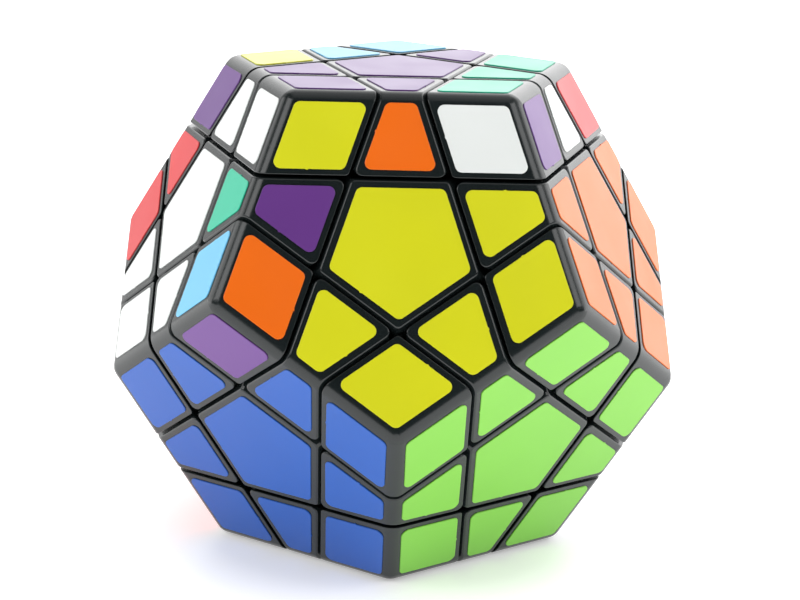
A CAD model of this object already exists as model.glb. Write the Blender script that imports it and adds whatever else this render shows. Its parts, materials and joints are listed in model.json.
# %% [markdown]
# # A dodecahedron twisty puzzle
# The puzzle is sixty-two black plastic pieces around a sprung core, with a vinyl sticker on every outside
# face of every piece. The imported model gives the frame: the sizes, the bodies and the joints. This file
# gives each piece its finished shape and each surface its finish. All lengths are in metres.

# %% Load the frame
import json
import math
import random

import bmesh
import bpy
from mathutils import Matrix, Quaternion, Vector

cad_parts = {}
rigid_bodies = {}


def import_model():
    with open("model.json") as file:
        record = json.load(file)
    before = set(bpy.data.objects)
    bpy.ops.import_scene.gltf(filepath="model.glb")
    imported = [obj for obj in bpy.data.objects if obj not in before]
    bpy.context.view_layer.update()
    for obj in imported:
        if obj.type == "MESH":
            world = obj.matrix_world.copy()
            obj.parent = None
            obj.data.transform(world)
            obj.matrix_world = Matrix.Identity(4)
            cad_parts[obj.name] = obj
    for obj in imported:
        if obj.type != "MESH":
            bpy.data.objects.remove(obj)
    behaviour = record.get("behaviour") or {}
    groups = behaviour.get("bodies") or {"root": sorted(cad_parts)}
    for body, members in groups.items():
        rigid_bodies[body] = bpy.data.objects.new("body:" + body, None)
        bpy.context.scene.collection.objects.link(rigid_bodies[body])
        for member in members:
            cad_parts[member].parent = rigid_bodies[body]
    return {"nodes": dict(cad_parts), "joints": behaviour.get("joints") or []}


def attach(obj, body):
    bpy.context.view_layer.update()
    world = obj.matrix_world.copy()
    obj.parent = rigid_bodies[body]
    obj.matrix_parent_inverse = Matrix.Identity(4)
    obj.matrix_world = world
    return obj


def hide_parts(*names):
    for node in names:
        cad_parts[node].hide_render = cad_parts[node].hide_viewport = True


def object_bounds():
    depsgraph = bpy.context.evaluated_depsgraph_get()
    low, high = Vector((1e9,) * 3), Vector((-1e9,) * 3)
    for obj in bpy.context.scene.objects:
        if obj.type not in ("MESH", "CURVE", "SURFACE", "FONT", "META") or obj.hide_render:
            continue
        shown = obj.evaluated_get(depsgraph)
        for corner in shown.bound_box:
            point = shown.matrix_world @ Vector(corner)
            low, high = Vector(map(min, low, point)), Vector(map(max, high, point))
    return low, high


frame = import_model()
cad_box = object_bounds()

# %% [markdown]
# ## The camera
# A camera is placed first, so that every later choice can be judged from it. It stands a little above the
# puzzle's middle and nine and a half half-heights away, and its lens is long. A long lens keeps the
# five-sided faces from looking stretched.

# %% Camera
MM = 0.001
lowest, highest = cad_box
STICKER = 0.15 * MM
INRADIUS = (highest.z - lowest.z) / 2 - STICKER
MIDDLE = Vector((0, 0, (lowest.z + highest.z) / 2))

CAMERA_DISTANCE = 9.595 * INRADIUS
CAMERA_HEIGHT = math.radians(15.303)
CAMERA_TURN = math.radians(-1.344)
CAMERA_ROLL = math.radians(1.53)
LENS = 100.4
AIM_RIGHT = 0.0285 * INRADIUS
AIM_UP = -0.0105 * INRADIUS


def make_camera():
    """A camera that looks at the puzzle's middle, rolled slightly, and shifted sideways to frame it."""
    data = bpy.data.cameras.new("camera")
    data.lens = LENS
    camera = bpy.data.objects.new("camera", data)
    bpy.context.scene.collection.objects.link(camera)
    back = Vector((
        math.sin(CAMERA_TURN) * math.cos(CAMERA_HEIGHT),
        -math.cos(CAMERA_TURN) * math.cos(CAMERA_HEIGHT),
        math.sin(CAMERA_HEIGHT),
    ))
    right = Vector((0, 0, 1)).cross(back).normalized()
    up = back.cross(right)
    rolled_right = right * math.cos(CAMERA_ROLL) + up * math.sin(CAMERA_ROLL)
    rolled_up = up * math.cos(CAMERA_ROLL) - right * math.sin(CAMERA_ROLL)
    place = MIDDLE + back * CAMERA_DISTANCE + rolled_right * AIM_RIGHT + rolled_up * AIM_UP
    turn = Matrix((rolled_right, rolled_up, back)).transposed().to_4x4()
    camera.matrix_world = Matrix.Translation(place) @ turn
    data.clip_start = 0.01
    data.clip_end = 20
    bpy.context.scene.camera = camera
    return camera


camera = make_camera()
print("camera at", [round(x, 3) for x in camera.location])

# %% [markdown]
# ## The twelve directions
# Everything on a dodecahedron follows from the twelve directions in which its faces look. The top and
# bottom faces look up and down. Five faces look outwards and up, and five outwards and down, each a fifth
# of a turn apart. Two faces meet where the angle between their directions is arctan 2, and that one test
# finds the thirty edges and the twenty corners, so neither has to be listed by hand.

# %% Faces, edges and corners
SLANT = math.atan(2)
FIFTH = math.tau / 5
UPPER = ["front", "right", "back_right", "back_left", "left"]
LOWER = ["lower_right", "lower_back_right", "lower_back", "lower_back_left", "lower_left"]


def direction(tilt, turn):
    """The way a face looks, from its tilt away from straight up and its turn from the front."""
    return Vector((math.sin(tilt) * math.sin(turn), -math.sin(tilt) * math.cos(turn), math.cos(tilt)))


NORMALS = {"top": Vector((0, 0, 1))}
NORMALS.update({name: direction(SLANT, FIFTH * i) for i, name in enumerate(UPPER)})
NORMALS.update({name: direction(math.pi - SLANT, FIFTH * (i + 0.5)) for i, name in enumerate(LOWER)})
NORMALS["bottom"] = Vector((0, 0, -1))
FACES = list(NORMALS)


def meet(a, b):
    """True where faces a and b share an edge."""
    return abs(NORMALS[a].dot(NORMALS[b]) - math.cos(SLANT)) < 0.001


CENTRES = [(f,) for f in FACES]
EDGES = [(f, g) for i, f in enumerate(FACES) for g in FACES[i + 1:] if meet(f, g)]
CORNERS = [
    (f, g, h) for f, g in EDGES for h in FACES[FACES.index(g) + 1:] if meet(f, h) and meet(g, h)
]
print(len(FACES), "faces,", len(EDGES), "edges,", len(CORNERS), "corners")

# %% [markdown]
# ## Which body carries which piece
# The frame's bodies are the layers that turn. A piece belongs to a turning layer if it shows that layer's
# face, and to the core otherwise.

# %% Bodies
TURNING = [joint["child"].removesuffix("_layer") for joint in frame["joints"]]
BODIES = ["core"] + [layer + "_layer" for layer in TURNING]


def body_of(piece):
    """The body that carries a piece, given the faces that the piece shows."""
    for layer in TURNING:
        if layer in piece:
            return layer + "_layer"
    return "core"


def carried(pieces, body):
    """Those of the pieces that a body carries."""
    return [p for p in pieces if body_of(p) == body]


def cad_name(kind, piece):
    """The frame's name for a piece."""
    return "_".join((kind,) + piece)


for body in BODIES:
    print(body, "carries", len(carried(CENTRES + EDGES + CORNERS, body)), "pieces")

# %% [markdown]
# ## Cutting a block
# Every piece starts as a block with flat sides, and the flat sides are planes that the whole puzzle
# shares: its faces, and the cuts between its layers. A mesh is made by starting from a big cube and
# slicing off what lies beyond each plane. This is exact, and no corner point has to be worked out.

# %% Slicing helpers
LAYER_DEPTH = 10.77 * MM
HALF_GAP = 0.25 * MM
CUT = INRADIUS - LAYER_DEPTH
FOOT_CUT = 20 * MM
FOOT_RADIUS = 31.7 * MM
SHELL_RADIUS = 32 * MM
BIG = 0.2


def sliced(planes):
    """What is left of a big cube inside all the planes, each given as (outward direction, distance)."""
    mesh = bmesh.new()
    bmesh.ops.create_cube(mesh, size=BIG)
    for outward, distance in planes:
        everything = mesh.verts[:] + mesh.edges[:] + mesh.faces[:]
        cut = bmesh.ops.bisect_plane(
            mesh, geom=everything, plane_co=outward * distance, plane_no=outward, clear_outer=True
        )
        rim = [e for e in cut["geom_cut"] if isinstance(e, bmesh.types.BMEdge)]
        if rim:
            bmesh.ops.contextual_create(mesh, geom=rim)
    bmesh.ops.recalc_face_normals(mesh, faces=mesh.faces)
    return mesh


def from_bmesh(mesh, name):
    """A linked object that holds a finished bmesh."""
    data = bpy.data.meshes.new(name)
    mesh.to_mesh(data)
    mesh.free()
    made = bpy.data.objects.new(name, data)
    bpy.context.scene.collection.objects.link(made)
    return made


# %% [markdown]
# ## Rounding a block
# On the real puzzle three different roundings meet on one piece. The outside edge of the dodecahedron is
# a broad, soft round that catches the light. The upright edges inside the cuts are rounded too, which
# opens a small dark diamond wherever four pieces meet. The rim, where a piece's outside turns down into a
# cut, is a very fine round that shows as a thin bright line. So the block is bevelled three times. Each
# bevel's new faces inherit the material number of the faces beside them, so numbering the sides 1 and the
# outside 0 at the start makes the rim easy to find at the end: it lies wherever the two numbers meet.

# %% Rounding
BROAD_ROUND = 2.25 * MM
BROAD_STEPS = 10
UPRIGHT_ROUND = 0.8 * MM
UPRIGHT_STEPS = 6
RIM_ROUND = 0.22 * MM
RIM_STEPS = 4
OUTSIDE, SIDE_WALL = 0, 1
SAME_WAY = 0.999
SAME_POINT = 0.001 * MM


def bevel(mesh, edges, radius, steps):
    """Rounds edges that all turn by the same angle. The width is the radius times the half-turn's tangent."""
    width = radius * math.tan(edges[0].calc_face_angle() / 2)
    bmesh.ops.bevel(
        mesh, geom=edges, offset=width, offset_type="OFFSET", segments=steps, profile=0.5,
        affect="EDGES", clamp_overlap=False, material=-1,
    )


def numbers(edge):
    """The material numbers on the two sides of an edge, in order."""
    return sorted(f.material_index for f in edge.link_faces)


def reaches_outside(edge):
    """True for an edge with an end on the outside of its piece."""
    return any(f.material_index == OUTSIDE for v in edge.verts for f in v.link_faces)


def rounded_block(shown, hidden, height=INRADIUS):
    """A piece's outer block. shown names its outside faces, and hidden lists its cut planes."""
    mesh = sliced([(NORMALS[f], height) for f in shown] + hidden)
    for face in mesh.faces:
        outside = any(face.normal.dot(NORMALS[f]) > SAME_WAY for f in shown)
        face.material_index = OUTSIDE if outside else SIDE_WALL
    upright = [e for e in mesh.edges if numbers(e) == [SIDE_WALL, SIDE_WALL] and reaches_outside(e)]
    bevel(mesh, upright, UPRIGHT_ROUND, UPRIGHT_STEPS)
    broad = [e for e in mesh.edges if numbers(e) == [OUTSIDE, OUTSIDE]]
    if broad:
        bevel(mesh, broad, BROAD_ROUND, BROAD_STEPS)
    rim = [e for e in mesh.edges if numbers(e) == [OUTSIDE, SIDE_WALL]]
    bmesh.ops.bevel(
        mesh, geom=rim, offset=RIM_ROUND, offset_type="OFFSET", segments=RIM_STEPS, profile=0.5,
        affect="EDGES", clamp_overlap=False, material=-1,
    )
    for face in mesh.faces:
        face.material_index = 0
    bmesh.ops.remove_doubles(mesh, verts=mesh.verts, dist=SAME_POINT)
    bmesh.ops.recalc_face_normals(mesh, faces=mesh.faces)
    return mesh


# %% [markdown]
# ## Joining and hollowing
# A piece's underside is a round hollow that the neighbours' feet slide beneath, and its own foot is
# joined on through a narrow waist. Those are plain additions and subtractions of solids, so the Boolean
# modifier does them and is applied at once.

# %% Boolean helpers
def ball(radius, name):
    """A round solid about the middle of the puzzle."""
    mesh = bmesh.new()
    bmesh.ops.create_icosphere(mesh, subdivisions=6, radius=radius)
    return from_bmesh(mesh, name)


def combine(target, tool, operation):
    """Applies one Boolean to target and removes the tool."""
    modifier = target.modifiers.new("combine", "BOOLEAN")
    modifier.operation = operation
    modifier.solver = "EXACT"
    modifier.object = tool
    evaluated = target.evaluated_get(bpy.context.evaluated_depsgraph_get())
    result = bpy.data.meshes.new_from_object(evaluated)
    target.modifiers.clear()
    target.data = result
    bpy.data.objects.remove(tool)
    return target


def smooth(thing, angle=35):
    """Soft shading inside every crease that is flatter than the angle, weighted to keep flats flat."""
    thing.data.shade_smooth()
    thing.data.set_sharp_from_angle(angle=math.radians(angle))
    modifier = thing.modifiers.new("weighted", "WEIGHTED_NORMAL")
    modifier.keep_sharp = True
    evaluated = thing.evaluated_get(bpy.context.evaluated_depsgraph_get())
    result = bpy.data.meshes.new_from_object(evaluated)
    thing.modifiers.clear()
    thing.data = result
    return thing


# %% [markdown]
# ## The corner piece
# A corner shows three faces. One is made, at a place chosen for convenience, and the other nineteen are
# turned copies of it. Its foot is the same block carried deeper, so that it spreads beneath its
# neighbours and the layers hold it in.

# %% Corner
WAIST_STEP = 0.2 * MM


def corner_cuts(piece, depth):
    """The cuts that part a corner from the rest, at a distance from the middle."""
    return [(-NORMALS[f], -depth) for f in piece]


def make_corner(piece):
    """One corner piece about the puzzle's middle."""
    made = from_bmesh(rounded_block(piece, corner_cuts(piece, CUT + HALF_GAP)), "corner")
    combine(made, ball(SHELL_RADIUS, "hollow"), "DIFFERENCE")
    faces = [(NORMALS[f], INRADIUS - BROAD_ROUND) for f in piece]
    waist = from_bmesh(sliced(faces + corner_cuts(piece, CUT + HALF_GAP + WAIST_STEP)), "waist")
    combine(waist, ball(SHELL_RADIUS + WAIST_STEP, "shell"), "INTERSECT")
    foot = from_bmesh(sliced(faces + corner_cuts(piece, FOOT_CUT + HALF_GAP)), "foot")
    combine(foot, ball(FOOT_RADIUS, "round"), "INTERSECT")
    combine(foot, waist, "UNION")
    combine(made, foot, "UNION")
    return smooth(made)


corner = make_corner(CORNERS[0])
print("corner:", len(corner.data.polygons), "faces")

# %% [markdown]
# ## The edge piece
# An edge shows two faces. Two of its cuts belong to its own layers, and the layers at its two ends slice
# across it, so its foot stops short where those layers' feet sweep past.

# %% Edge
def end_faces(piece):
    """The two faces at the ends of an edge."""
    return [f for f in FACES if meet(f, piece[0]) and meet(f, piece[1])]


def edge_cuts(piece, depth, end):
    """The cuts that part an edge from the rest: its own two, and those at its ends."""
    return [(-NORMALS[f], -depth) for f in piece] + [(NORMALS[f], end) for f in end_faces(piece)]


def make_edge(piece):
    """One edge piece about the puzzle's middle."""
    made = from_bmesh(rounded_block(piece, edge_cuts(piece, CUT + HALF_GAP, CUT - HALF_GAP)), "edge")
    combine(made, ball(SHELL_RADIUS, "hollow"), "DIFFERENCE")
    faces = [(NORMALS[f], INRADIUS - BROAD_ROUND) for f in piece]
    waist_cuts = edge_cuts(piece, CUT + HALF_GAP + WAIST_STEP, FOOT_CUT - HALF_GAP - WAIST_STEP)
    waist = from_bmesh(sliced(faces + waist_cuts), "waist")
    combine(waist, ball(SHELL_RADIUS + WAIST_STEP, "shell"), "INTERSECT")
    foot = from_bmesh(sliced(faces + edge_cuts(piece, FOOT_CUT + HALF_GAP, FOOT_CUT - HALF_GAP)), "foot")
    combine(foot, ball(FOOT_RADIUS, "round"), "INTERSECT")
    combine(foot, waist, "UNION")
    combine(made, foot, "UNION")
    return smooth(made)


edge = make_edge(EDGES[0])
print("edge:", len(edge.data.polygons), "faces")

# %% [markdown]
# ## The centre piece and its cap
# A centre is a five-sided dish on a pillar, and the pillar is a tube that holds the screw and its spring.
# The cap that closes it is a separate moulding, so the seam between the two runs around the piece below
# the rim.

# %% Centre and cap
CAP_DEPTH = 1.6 * MM
PILLAR_START = 21.3 * MM
SHELF_TOP = 23.3 * MM
PILLAR_RADIUS = 5.4 * MM
CHAMBER_RADIUS = 3.9 * MM
BORE_RADIUS = 1.6 * MM
SPIGOT_RADIUS = 3.7 * MM
SPIGOT_DEPTH = 1.3 * MM
CAP_GAP = 0.05 * MM
PILLAR_GAP = 0.1 * MM
WELD = 0.5 * MM
TUBE_SEGMENTS = 64


def rod(radius, low, high, name):
    """A cylinder along +Z between two heights."""
    mesh = bmesh.new()
    bmesh.ops.create_cone(
        mesh, cap_ends=True, segments=TUBE_SEGMENTS, radius1=radius, radius2=radius, depth=high - low,
        matrix=Matrix.Translation((0, 0, (low + high) / 2)),
    )
    return from_bmesh(mesh, name)


def centre_sides(piece):
    """The five cuts around a centre."""
    return [(NORMALS[f], CUT - HALF_GAP) for f in FACES if meet(f, piece[0])]


def make_centre():
    """The centre of the top face, below its cap."""
    top_of_dish = INRADIUS - CAP_DEPTH - CAP_GAP
    under = (-NORMALS["top"], -CUT)
    made = from_bmesh(rounded_block(("top",), [under] + centre_sides(("top",)), top_of_dish), "centre")
    combine(made, ball(SHELL_RADIUS, "hollow"), "DIFFERENCE")
    combine(made, rod(PILLAR_RADIUS, PILLAR_START, top_of_dish - PILLAR_GAP, "pillar"), "UNION")
    combine(made, rod(CHAMBER_RADIUS, SHELF_TOP, INRADIUS, "chamber"), "DIFFERENCE")
    combine(made, rod(BORE_RADIUS, PILLAR_START - MM, SHELF_TOP + MM, "bore"), "DIFFERENCE")
    return smooth(made)


def make_cap():
    """The cap of the top face, with the spigot that plugs into the pillar."""
    floor = INRADIUS - CAP_DEPTH
    under = (-NORMALS["top"], -floor)
    made = from_bmesh(rounded_block(("top",), [under] + centre_sides(("top",))), "cap")
    combine(made, rod(SPIGOT_RADIUS, floor - SPIGOT_DEPTH, floor + WELD, "spigot"), "UNION")
    return smooth(made)


centre = make_centre()
cap = make_cap()
print("centre:", len(centre.data.polygons), "faces; cap:", len(cap.data.polygons), "faces")

# %% [markdown]
# ## Turning a piece to its place
# To copy one corner to the other nineteen places, a turn is needed that carries its three face directions
# onto those of the new place. Three directions make a matrix, and the turn is the new matrix times the
# inverse of the old one. The order of the faces matters, because the mirror image of a corner is not a
# corner.

# %% Turns
def compass(piece):
    """Three directions fixed to a piece, right-handed, as the columns of a matrix."""
    first = NORMALS[piece[0]]
    if len(piece) == 3:
        columns = [NORMALS[f] for f in piece]
        if columns[0].cross(columns[1]).dot(columns[2]) < 0:
            columns[1], columns[2] = columns[2], columns[1]
    elif len(piece) == 2:
        columns = [first, NORMALS[piece[1]], first.cross(NORMALS[piece[1]])]
    else:
        beside = NORMALS[[f for f in FACES if meet(f, piece[0])][0]]
        columns = [first, beside, first.cross(beside)]
    return Matrix(columns).transposed()


def turn_between(piece, home):
    """The turn that carries the piece made at home onto the place of another piece."""
    return (compass(piece) @ compass(home).inverted()).to_quaternion()


# %% [markdown]
# ## Copies by Geometry Nodes
# The copies are made by one small tree. It takes a cloud of points and a collection of patterns. Each
# point carries two attributes: which pattern it wants, and the rotation that the copy is to have. Realize
# Instances turns the copies into real mesh, and Set Material gives them their finish, because an export
# keeps meshes and not instances. The result is then taken as a plain mesh, one for each body.

# %% Copying tree
def named_attribute(tree, name, kind):
    """A node that reads an attribute from the points."""
    node = tree.nodes.new("GeometryNodeInputNamedAttribute")
    node.data_type = kind
    node.inputs["Name"].default_value = name
    return node.outputs["Attribute"]


def copying_tree():
    """A tree with two inputs: the collection of patterns, and the material of the copies."""
    tree = bpy.data.node_groups.new("copies", "GeometryNodeTree")
    tree.interface.new_socket("Places", in_out="INPUT", socket_type="NodeSocketGeometry")
    patterns = tree.interface.new_socket("Patterns", in_out="INPUT", socket_type="NodeSocketCollection")
    finish = tree.interface.new_socket("Finish", in_out="INPUT", socket_type="NodeSocketMaterial")
    tree.interface.new_socket("Copies", in_out="OUTPUT", socket_type="NodeSocketGeometry")
    node = tree.nodes.new
    link = tree.links.new
    start = node("NodeGroupInput")
    end = node("NodeGroupOutput")
    to_points = node("GeometryNodeMeshToPoints")
    info = node("GeometryNodeCollectionInfo")
    info.inputs["Separate Children"].default_value = True
    place = node("GeometryNodeInstanceOnPoints")
    place.inputs["Pick Instance"].default_value = True
    realize = node("GeometryNodeRealizeInstances")
    paint = node("GeometryNodeSetMaterial")
    link(start.outputs["Places"], to_points.inputs["Mesh"])
    link(start.outputs["Patterns"], info.inputs["Collection"])
    link(to_points.outputs["Points"], place.inputs["Points"])
    link(info.outputs["Instances"], place.inputs["Instance"])
    link(named_attribute(tree, "which", "INT"), place.inputs["Instance Index"])
    link(named_attribute(tree, "turn", "QUATERNION"), place.inputs["Rotation"])
    link(place.outputs["Instances"], realize.inputs["Geometry"])
    link(realize.outputs["Geometry"], paint.inputs["Geometry"])
    link(start.outputs["Finish"], paint.inputs["Material"])
    link(paint.outputs["Geometry"], end.inputs["Copies"])
    return tree, patterns.identifier, finish.identifier


COPIES, PATTERNS_INPUT, FINISH_INPUT = copying_tree()


def collect(name, patterns):
    """A collection of patterns. The tree takes its members in the order of their names."""
    collection = bpy.data.collections.new(name)
    for pattern in patterns:
        collection.objects.link(pattern)
    return collection


def copies(name, collection, places, material):
    """One plain mesh object with a copy for each place, given as (position, turn, number of the pattern)."""
    cloud = bpy.data.meshes.new(name + "_places")
    cloud.from_pydata([position for position, turn, number in places], [], [])
    rotation = cloud.attributes.new("turn", "QUATERNION", "POINT")
    for i, (position, turn, number) in enumerate(places):
        rotation.data[i].value = turn
    which = cloud.attributes.new("which", "INT", "POINT")
    for i, (position, turn, number) in enumerate(places):
        which.data[i].value = number
    holder = bpy.data.objects.new(name + "_places", cloud)
    bpy.context.scene.collection.objects.link(holder)
    modifier = holder.modifiers.new("copies", "NODES")
    modifier.node_group = COPIES
    modifier[PATTERNS_INPUT] = collection
    modifier[FINISH_INPUT] = material
    evaluated = holder.evaluated_get(bpy.context.evaluated_depsgraph_get())
    data = bpy.data.meshes.new_from_object(evaluated)
    holder.modifiers.clear()
    bpy.data.objects.remove(holder)
    made = bpy.data.objects.new(name, data)
    data.name = name
    bpy.context.scene.collection.objects.link(made)
    return made


def clear_away(collection):
    """Removes a collection and its patterns, once every copy is made."""
    for pattern in list(collection.objects):
        bpy.data.objects.remove(pattern)
    bpy.data.collections.remove(collection)


# %% [markdown]
# ## Black plastic
# The pieces are moulded in black ABS with a satin finish. Two things make such a plain material
# believable. The gloss is uneven: fingers polish it in patches, so the roughness drifts slowly over the
# surface. And the mould leaves a fine texture, too small to see as bumps but enough to soften each
# reflection.

# %% Material helpers
def new_material(name):
    """An empty node material, with its tree and its Principled shader."""
    material = bpy.data.materials.new(name)
    material.use_nodes = True
    return material, material.node_tree, material.node_tree.nodes["Principled BSDF"]


def noise(tree, scale, detail, roughness=0.5):
    """A noise in the piece's own coordinates, at so many waves a metre."""
    place = tree.nodes.new("ShaderNodeTexCoord")
    texture = tree.nodes.new("ShaderNodeTexNoise")
    texture.inputs["Scale"].default_value = scale
    texture.inputs["Detail"].default_value = detail
    texture.inputs["Roughness"].default_value = roughness
    tree.links.new(place.outputs["Object"], texture.inputs["Vector"])
    return texture.outputs["Fac"]


def spread(tree, value, low, high, start=0, end=1):
    """Maps a value onto a range."""
    ramp = tree.nodes.new("ShaderNodeMapRange")
    ramp.inputs["From Min"].default_value = start
    ramp.inputs["From Max"].default_value = end
    ramp.inputs["To Min"].default_value = low
    ramp.inputs["To Max"].default_value = high
    tree.links.new(value, ramp.inputs["Value"])
    return ramp.outputs["Result"]


def blend_colours(tree, value, dark, light):
    """A colour between two, chosen by a value."""
    mix = tree.nodes.new("ShaderNodeMix")
    mix.data_type = "RGBA"
    mix.inputs["A"].default_value = (*dark, 1)
    mix.inputs["B"].default_value = (*light, 1)
    tree.links.new(value, mix.inputs["Factor"])
    return mix.outputs["Result"]


def bump(tree, shader, height, distance, strength):
    """Adds a bump from a height, on top of any bump that the shader already has."""
    node = tree.nodes.new("ShaderNodeBump")
    node.inputs["Distance"].default_value = distance
    node.inputs["Strength"].default_value = strength
    tree.links.new(height, node.inputs["Height"])
    if shader.inputs["Normal"].links:
        tree.links.new(shader.inputs["Normal"].links[0].from_socket, node.inputs["Normal"])
    tree.links.new(node.outputs["Normal"], shader.inputs["Normal"])


# %% Plastic
def black_plastic():
    """The plastic of every outer piece."""
    material, tree, shader = new_material("black_plastic")
    shades = blend_colours(tree, noise(tree, 60, 3), (0.0065, 0.0095, 0.0100), (0.0135, 0.0185, 0.0190))
    tree.links.new(shades, shader.inputs["Base Color"])
    tree.links.new(spread(tree, noise(tree, 140, 4), 0.17, 0.27), shader.inputs["Roughness"])
    shader.inputs["IOR"].default_value = 1.5
    bump(tree, shader, noise(tree, 5200, 2), 0.00002, 0.25)
    bump(tree, shader, noise(tree, 160, 2), 0.00006, 0.25)
    return material


BLACK = black_plastic()
print("made", BLACK.name)

# %% [markdown]
# ## The sticker colours
# Stickers are die-cut from glossy vinyl. The pigment and the gloss of a film both drift a little from
# place to place. Each colour is the same finish with its own pigment, so one function makes all twelve.

# %% Vinyl
PIGMENTS = {
    "purple": (0.130, 0.038, 0.235), "yellow": (0.690, 0.690, 0.012), "orange": (0.890, 0.155, 0.006),
    "light_blue": (0.150, 0.540, 0.840), "green": (0.004, 0.520, 0.310), "white": (0.830, 0.860, 0.840),
    "lime": (0.200, 0.560, 0.045), "grey": (0.270, 0.280, 0.300), "cream": (0.860, 0.780, 0.460),
    "red": (0.700, 0.025, 0.030), "blue": (0.004, 0.088, 0.430), "pink": (0.850, 0.250, 0.450),
}


def vinyl(colour):
    """The film of one colour."""
    material, tree, shader = new_material("vinyl_" + colour)
    pigment = Vector(PIGMENTS[colour])
    shades = blend_colours(tree, noise(tree, 90, 1), pigment * 0.95, pigment * 1.05)
    tree.links.new(shades, shader.inputs["Base Color"])
    tree.links.new(spread(tree, noise(tree, 150, 1), 0.28, 0.38), shader.inputs["Roughness"])
    shader.inputs["IOR"].default_value = 1.5
    return material


VINYL = {colour: vinyl(colour) for colour in PIGMENTS}
print("made", len(VINYL), "vinyl colours")

# %% [markdown]
# ## Placing the plastic pieces
# For each body, the corners, edges, centres and caps that it carries become one mesh each, and each
# stands for the frame's plainer solids of the same pieces.

# %% Plastic pieces
CAP_NODES = {body: "caps_" + body.removesuffix("_layer") for body in BODIES}
CAP_NODES["core"] = "caps_fixed"


def put_on(thing, body, nodes):
    """Tells the frame what carries a piece, what finish it has and which solids it stands for."""
    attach(thing, body)
    if nodes:
        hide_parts(*nodes)


def place_plastic(kind, pattern, pieces, home):
    """Copies a pattern, made at home, to the places of all pieces of its kind."""
    collection = collect(kind, [pattern])
    for body in BODIES:
        here = carried(pieces, body)
        places = [(MIDDLE, turn_between(p, home), 0) for p in here]
        made = copies(f"{kind}s_of_{body}", collection, places, BLACK)
        if kind == "cap":
            nodes = [CAP_NODES[body]]
        elif kind == "edge" and body == "core":
            nodes = ["edges_fixed"]
        else:
            nodes = [cad_name(kind, p) for p in here]
        put_on(made, body, nodes)
        print(made.name, "has", len(here), "pieces and", len(made.data.polygons), "faces")
    clear_away(collection)


place_plastic("corner", corner, CORNERS, CORNERS[0])
place_plastic("edge", edge, EDGES, EDGES[0])
place_plastic("centre", centre, CENTRES, ("top",))
place_plastic("cap", cap, CENTRES, ("top",))

# %% [markdown]
# ## The scramble
# The puzzle is partly scrambled. Sixteen pieces are away from home, and for each the table gives the
# faces it lies on and the colours it shows there. Every other sticker has its face's own colour.

# %% Colours of the stickers
SOLVED = {
    "top": "purple", "front": "yellow", "right": "orange", "back_right": "light_blue", "back_left": "green",
    "left": "white", "lower_right": "lime", "lower_back_right": "grey", "lower_back": "cream",
    "lower_back_left": "red", "lower_left": "blue", "bottom": "pink",
}
SCRAMBLED = [
    {"front": "orange", "top": "purple"},
    {"front": "purple", "left": "green"},
    {"top": "green", "right": "white"},
    {"top": "light_blue", "back_left": "green"},
    {"top": "purple", "back_right": "yellow"},
    {"left": "red", "back_left": "green"},
    {"back_left": "purple", "back_right": "light_blue"},
    {"back_left": "white", "lower_back_left": "yellow"},
    {"front": "white", "top": "green", "right": "purple"},
    {"front": "orange", "left": "light_blue", "lower_left": "purple"},
    {"top": "yellow", "left": "purple", "back_left": "orange"},
    {"top": "green", "right": "red", "back_right": "white"},
    {"top": "light_blue", "back_left": "green", "back_right": "cream"},
    {"left": "red", "back_left": "green", "lower_back_left": "cream"},
    {"back_left": "green", "back_right": "purple", "lower_back": "light_blue"},
    {"back_left": "white", "lower_back_left": "blue", "lower_back": "yellow"},
]


def sticker_colour(piece, face):
    """The colour that a piece shows on one of its faces."""
    for row in SCRAMBLED:
        if set(row) == set(piece):
            return row[face]
    return SOLVED[face]


# %% [markdown]
# ## Sticker outlines
# A sticker stops short of its piece's rim, and its corners are rounded so that they don't lift. On a
# face, each side of a sticker is a line at a set distance from the face's middle, square to the way to a
# neighbouring face. So an outline is found by crossing those lines, two by two, and turning each crossing
# into an arc.

# %% Outlines
APOTHEM = INRADIUS * math.tan(SLANT / 2)
CUT_APOTHEM = (CUT - INRADIUS * math.cos(SLANT)) / math.sin(SLANT)
MARGIN = 0.95 * MM
EDGE_MARGIN = 1.45 * MM
STICKER_CORNER = 0.95 * MM
ARC_STEPS = 8


def crossing(a, s, b, t):
    """Where the line at distance s in direction a crosses the line at distance t in direction b."""
    return Vector((s * math.sin(b) - t * math.sin(a), t * math.cos(a) - s * math.cos(b))) / math.sin(b - a)


def arcs(points, radius):
    """A convex outline, counter-clockwise, with its corners turned to arcs."""
    outline = []
    for i, point in enumerate(points):
        along = (point - points[i - 1]).normalized()
        ahead = (points[(i + 1) % len(points)] - point).normalized()
        turn = math.atan2(along.cross(ahead), along.dot(ahead))
        inward = Vector((-along.y, along.x))
        middle = point - along * radius * math.tan(turn / 2) + inward * radius
        for k in range(ARC_STEPS + 1):
            a = math.atan2(-inward.y, -inward.x) + turn * k / ARC_STEPS
            outline.append(middle + Vector((math.cos(a), math.sin(a))) * radius)
    return outline


NEAR = CUT_APOTHEM + HALF_GAP + MARGIN
INSIDE = CUT_APOTHEM - HALF_GAP - MARGIN
SIDE = APOTHEM - EDGE_MARGIN
OUTLINES = {
    1: [crossing(FIFTH * k, INSIDE, FIFTH * (k + 1), INSIDE) for k in range(5)],
    2: [
        crossing(0, NEAR, -FIFTH, INSIDE), crossing(0, SIDE, -FIFTH, INSIDE),
        crossing(0, SIDE, FIFTH, INSIDE), crossing(0, NEAR, FIFTH, INSIDE),
    ],
    3: [
        crossing(0, NEAR, FIFTH, NEAR), crossing(0, SIDE, FIFTH, NEAR),
        crossing(0, SIDE, FIFTH, SIDE), crossing(0, NEAR, FIFTH, SIDE),
    ],
}

# %% [markdown]
# ## The film
# The film is a thin plate with a fine rounded top edge. The die that cut it left it joined to its sheet
# by small bridges, and where one was torn there is a tiny nib on the sticker's side.

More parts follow.
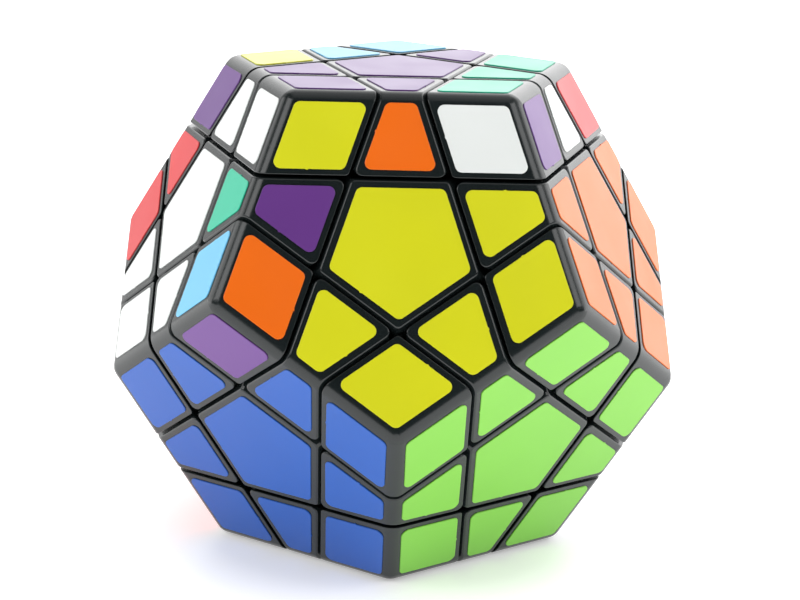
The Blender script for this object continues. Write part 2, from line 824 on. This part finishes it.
# %% Sticker patterns
FILM_EDGE = 0.08 * MM
NIB_WIDTH = 0.45 * MM
NIB_REACH = 0.12 * MM
NIB_PLACE = 0.45
NIB_SLOPE = 0.7


def with_nib(outline, side):
    """The outline with a torn bridge near the middle of one of its straight sides."""
    last = (side + 1) * (ARC_STEPS + 1) - 1
    start, end = outline[last], outline[(last + 1) % len(outline)]
    along = (end - start).normalized()
    outward = Vector((along.y, -along.x))
    middle = start + (end - start) * NIB_PLACE
    nib = [
        middle - along * NIB_WIDTH / 2,
        middle - along * NIB_WIDTH / 4 + outward * NIB_REACH,
        middle + along * NIB_WIDTH / 4 + outward * NIB_REACH * NIB_SLOPE,
        middle + along * NIB_WIDTH / 2,
    ]
    return outline[:last + 1] + nib + outline[last + 1:]


def make_film(name, corners, nib_side):
    """A sticker that lies on the plane at the inradius, looking along +Z."""
    outline = with_nib(arcs(corners, STICKER_CORNER), nib_side)
    mesh = bmesh.new()
    bottom = mesh.faces.new([mesh.verts.new((p.x, p.y, INRADIUS)) for p in outline])
    grown = bmesh.ops.extrude_face_region(mesh, geom=[bottom])
    top = [v for v in grown["geom"] if isinstance(v, bmesh.types.BMVert)]
    bmesh.ops.translate(mesh, verts=top, vec=(0, 0, STICKER))
    bmesh.ops.recalc_face_normals(mesh, faces=mesh.faces)
    height = INRADIUS + STICKER / 2
    edge = [e for e in mesh.edges if all(v.co.z > height for v in e.verts)]
    bmesh.ops.bevel(
        mesh, geom=edge, offset=FILM_EDGE, offset_type="OFFSET", segments=2, profile=0.5, affect="EDGES",
    )
    return smooth(from_bmesh(mesh, name))


FILMS = collect("films", [make_film(f"film_{size}", OUTLINES[size], size) for size in OUTLINES])

# %% [markdown]
# ## Placing the stickers
# A sticker pattern looks along +Z with its first neighbour along +X. Its turn is the one that carries
# those two directions onto the face's own direction and the way to the neighbouring face that the piece
# shows. Stickers are laid by hand, so each then slips and twists a very little about its own middle.

# %% Stickers
STICKER_NODES = {body: "stickers_" + body.removesuffix("_layer") for body in BODIES}
STICKER_NODES["core"] = "stickers_fixed"
SLIP = 0.12 * MM
TWIST = math.radians(0.5)
hand = random.Random(12)


def film_turn(piece, face):
    """The turn that lays a film pattern on a face of a piece."""
    up = NORMALS[face]
    beside = [NORMALS[f] for f in piece if f != face] or [NORMALS[[f for f in FACES if meet(f, face)][0]]]
    if len(beside) == 2 and beside[0].cross(beside[1]).dot(up) < 0:
        beside.reverse()
    across = (beside[0] - up * beside[0].dot(up)).normalized()
    return Matrix((across, up.cross(across), up)).transposed().to_quaternion()


def laid_by_hand(piece, face):
    """Where the film for a face of a piece goes, as copies() takes it."""
    outline = OUTLINES[len(piece)]
    middle = (sum(outline, Vector((0, 0))) / len(outline)).to_3d()
    slip = Vector((hand.uniform(-SLIP, SLIP), hand.uniform(-SLIP, SLIP), 0))
    twist = Quaternion((0, 0, 1), hand.uniform(-TWIST, TWIST))
    turn = film_turn(piece, face)
    return MIDDLE + turn @ (middle + slip - twist @ middle), turn @ twist, len(piece) - 1


def place_stickers(body):
    """One mesh for each colour that a body shows."""
    shown = [(p, f) for p in carried(CENTRES + EDGES + CORNERS, body) for f in p]
    for colour in PIGMENTS:
        places = [laid_by_hand(p, f) for p, f in shown if sticker_colour(p, f) == colour]
        if places:
            made = copies(f"{colour}_stickers_of_{body}", FILMS, places, VINYL[colour])
            put_on(made, body, [STICKER_NODES[body]])
    return len(shown)


for body in BODIES:
    print(place_stickers(body), "stickers on", body)
clear_away(FILMS)

# %% [markdown]
# ## Springs by Geometry Nodes
# A coil spring is a wire swept along a helix, which two nodes make: Spiral and Curve to Mesh. Here a
# second tree builds one spring, with its turns, radius and wire as named inputs, and the copying tree
# sets it on all twelve screws.

# %% Spring tree
SPRING_LOW, SPRING_HIGH = 23.62 * MM, 27.98 * MM
SPRING_SIZES = {"Turns": 4.0, "Radius": 2.8 * MM, "Height": SPRING_HIGH - SPRING_LOW, "Wire": 0.3 * MM}
STEPS_PER_TURN = 24
WIRE_SIDES = 10


def spring_tree():
    """A tree that makes one spring, with an input for each of its sizes and one for its finish."""
    tree = bpy.data.node_groups.new("spring", "GeometryNodeTree")
    sockets = {
        name: tree.interface.new_socket(name, in_out="INPUT", socket_type="NodeSocketFloat").identifier
        for name in SPRING_SIZES
    }
    finish = tree.interface.new_socket("Finish", in_out="INPUT", socket_type="NodeSocketMaterial")
    tree.interface.new_socket("Spring", in_out="OUTPUT", socket_type="NodeSocketGeometry")
    node = tree.nodes.new
    link = tree.links.new
    start = node("NodeGroupInput")
    end = node("NodeGroupOutput")
    spiral = node("GeometryNodeCurveSpiral")
    wire = node("GeometryNodeCurvePrimitiveCircle")
    sweep = node("GeometryNodeCurveToMesh")
    realize = node("GeometryNodeRealizeInstances")
    paint = node("GeometryNodeSetMaterial")
    spiral.inputs["Resolution"].default_value = STEPS_PER_TURN
    wire.inputs["Resolution"].default_value = WIRE_SIDES
    sweep.inputs["Fill Caps"].default_value = True
    link(start.outputs["Turns"], spiral.inputs["Rotations"])
    link(start.outputs["Radius"], spiral.inputs["Start Radius"])
    link(start.outputs["Radius"], spiral.inputs["End Radius"])
    link(start.outputs["Height"], spiral.inputs["Height"])
    link(start.outputs["Wire"], wire.inputs["Radius"])
    link(spiral.outputs["Curve"], sweep.inputs["Curve"])
    link(wire.outputs["Curve"], sweep.inputs["Profile Curve"])
    link(sweep.outputs["Mesh"], realize.inputs["Geometry"])
    link(realize.outputs["Geometry"], paint.inputs["Geometry"])
    link(start.outputs["Finish"], paint.inputs["Material"])
    link(paint.outputs["Geometry"], end.inputs["Spring"])
    return tree, sockets, finish.identifier


# %% Steel and core finishes
def steel(name, colour, roughness):
    """Plated steel with a faintly mottled gloss."""
    material, tree, shader = new_material(name)
    shader.inputs["Metallic"].default_value = 1
    dark = tuple(c * 0.8 for c in colour)
    tree.links.new(blend_colours(tree, noise(tree, 700, 3), dark, colour), shader.inputs["Base Color"])
    gloss = spread(tree, noise(tree, 1500, 3), roughness, roughness + 0.12)
    tree.links.new(gloss, shader.inputs["Roughness"])
    bump(tree, shader, noise(tree, 4000, 2), 0.00001, 0.3)
    return material


def nylon():
    """The core's moulded nylon, greyer and rougher than the outside."""
    material, tree, shader = new_material("core_nylon")
    shades = blend_colours(tree, noise(tree, 120, 4), (0.018, 0.019, 0.022), (0.038, 0.039, 0.042))
    tree.links.new(shades, shader.inputs["Base Color"])
    tree.links.new(spread(tree, noise(tree, 500, 3), 0.4, 0.65), shader.inputs["Roughness"])
    bump(tree, shader, noise(tree, 3000, 2), 0.00002, 0.3)
    return material


SPRING_STEEL = steel("spring_steel", (0.55, 0.56, 0.58), 0.22)
PLATED_STEEL = steel("plated_steel", (0.66, 0.67, 0.70), 0.28)
NYLON = nylon()

# %% Springs
def make_spring():
    """One spring on the +Z axis, at its height above the puzzle's middle."""
    tree, sockets, finish = spring_tree()
    holder = bpy.data.objects.new("spring", bpy.data.meshes.new("spring"))
    bpy.context.scene.collection.objects.link(holder)
    modifier = holder.modifiers.new("spring", "NODES")
    modifier.node_group = tree
    for name, value in SPRING_SIZES.items():
        modifier[sockets[name]] = value
    modifier[finish] = SPRING_STEEL
    data = bpy.data.meshes.new_from_object(holder.evaluated_get(bpy.context.evaluated_depsgraph_get()))
    holder.modifiers.clear()
    holder.data = data
    data.transform(Matrix.Translation((0, 0, SPRING_LOW)))
    return holder


one_spring = collect("one_spring", [make_spring()])
spring_places = [(MIDDLE, turn_between(p, ("top",)), 0) for p in CENTRES]
springs = copies("springs", one_spring, spring_places, SPRING_STEEL)
put_on(springs, "core", ["tension_springs"])
clear_away(one_spring)
print("springs:", len(springs.data.polygons), "faces")

# %% [markdown]
# ## What the frame already has right
# The core, the screws and the washers are plain turned and moulded shapes, so the frame's own solids
# stay. They only take their finishes.

# %% Finishes of the frame's solids
def refinish(node, material):
    """Gives one of the frame's solids a finish."""
    thing = frame["nodes"][node]
    thing.data.materials.clear()
    thing.data.materials.append(material)


refinish("core", NYLON)
refinish("tension_screws", PLATED_STEEL)
refinish("spring_washers", PLATED_STEEL)

# %% [markdown]
# ## Floor and light
# The puzzle stands on a white sweep. Glossy black plastic shows whatever surrounds it, so the light is
# planned by its reflections. The world is brightest in one direction behind the puzzle, where the steep
# side faces mirror it, and fades to nothing on the near side, so that the faces turned to the viewer stay
# black. Large softboxes high at both sides light the stickers without mirroring in them, and two low
# panels draw a thin line of light along every rounded rim.

# %% Floor
FLOOR_GLOW_NEAR = 0.36
FLOOR_GLOW_FAR = 1
GLOW_STARTS = 28 * MM
GLOW_ENDS = 60 * MM
FLOOR_REACH = 6


def make_floor():
    """A white floor that glows a little more away from the puzzle, so that it fades into the background."""
    mesh = bmesh.new()
    bmesh.ops.create_grid(mesh, x_segments=1, y_segments=1, size=FLOOR_REACH)
    floor = from_bmesh(mesh, "floor")
    material, tree, shader = new_material("white_sweep")
    shader.inputs["Base Color"].default_value = (0.8, 0.8, 0.8, 1)
    shader.inputs["Roughness"].default_value = 0.6
    shader.inputs["Specular IOR Level"].default_value = 0.2
    place = tree.nodes.new("ShaderNodeTexCoord")
    away = tree.nodes.new("ShaderNodeVectorMath")
    away.operation = "LENGTH"
    tree.links.new(place.outputs["Object"], away.inputs[0])
    distance = away.outputs["Value"]
    glow = spread(tree, distance, FLOOR_GLOW_NEAR, FLOOR_GLOW_FAR, GLOW_STARTS, GLOW_ENDS)
    shader.inputs["Emission Color"].default_value = (1, 1, 1, 1)
    tree.links.new(glow, shader.inputs["Emission Strength"])
    floor.data.materials.append(material)
    return floor


make_floor()

# %% Light
WORLD_STRENGTH = 2.75
WORLD_AIM = (0.27, 0.85, 0.25)
WORLD_EDGE = -0.3
WORLD_FALLOFF = 3


def make_world():
    """A pale surround, strongest in one direction and fading to nothing on the side away from it."""
    world = bpy.data.worlds.new("studio")
    world.use_nodes = True
    tree = world.node_tree
    place = tree.nodes.new("ShaderNodeTexCoord")
    towards = tree.nodes.new("ShaderNodeVectorMath")
    towards.operation = "DOT_PRODUCT"
    towards.inputs[1].default_value = Vector(WORLD_AIM).normalized()
    tree.links.new(place.outputs["Generated"], towards.inputs[0])
    near = spread(tree, towards.outputs["Value"], 0, 1, WORLD_EDGE, 1)
    fade = tree.nodes.new("ShaderNodeMath")
    fade.operation = "POWER"
    fade.inputs[1].default_value = WORLD_FALLOFF
    tree.links.new(near, fade.inputs[0])
    background = tree.nodes["Background"]
    background.inputs["Color"].default_value = (1, 1, 1, 1)
    strength = spread(tree, fade.outputs["Value"], 0, WORLD_STRENGTH)
    tree.links.new(strength, background.inputs["Strength"])
    bpy.context.scene.world = world


def softbox(name, azimuth, elevation, distance, size, power):
    """A square lamp that looks at the puzzle from an azimuth and elevation in degrees."""
    data = bpy.data.lights.new(name, "AREA")
    data.size = size
    data.energy = power
    lamp = bpy.data.objects.new(name, data)
    bpy.context.scene.collection.objects.link(lamp)
    a, e = math.radians(azimuth), math.radians(elevation)
    away = Vector((math.sin(a) * math.cos(e), -math.cos(a) * math.cos(e), math.sin(e)))
    turn = away.to_track_quat("Z", "Y").to_matrix().to_4x4()
    lamp.matrix_world = Matrix.Translation(MIDDLE + away * distance) @ turn


make_world()
softbox("left_softbox", -52, 38, 0.9, 0.5, 2.6)
softbox("right_softbox", 50, 42, 0.9, 0.5, 2.4)
softbox("top_softbox", 0, 84, 0.9, 0.6, 0.5)
softbox("left_panel", -98, 14, 0.6, 0.45, 1.5)
softbox("right_panel", 98, 14, 0.6, 0.45, 1.4)
scene = bpy.context.scene
scene.view_settings.view_transform = "Standard"
scene.view_settings.look = "None"
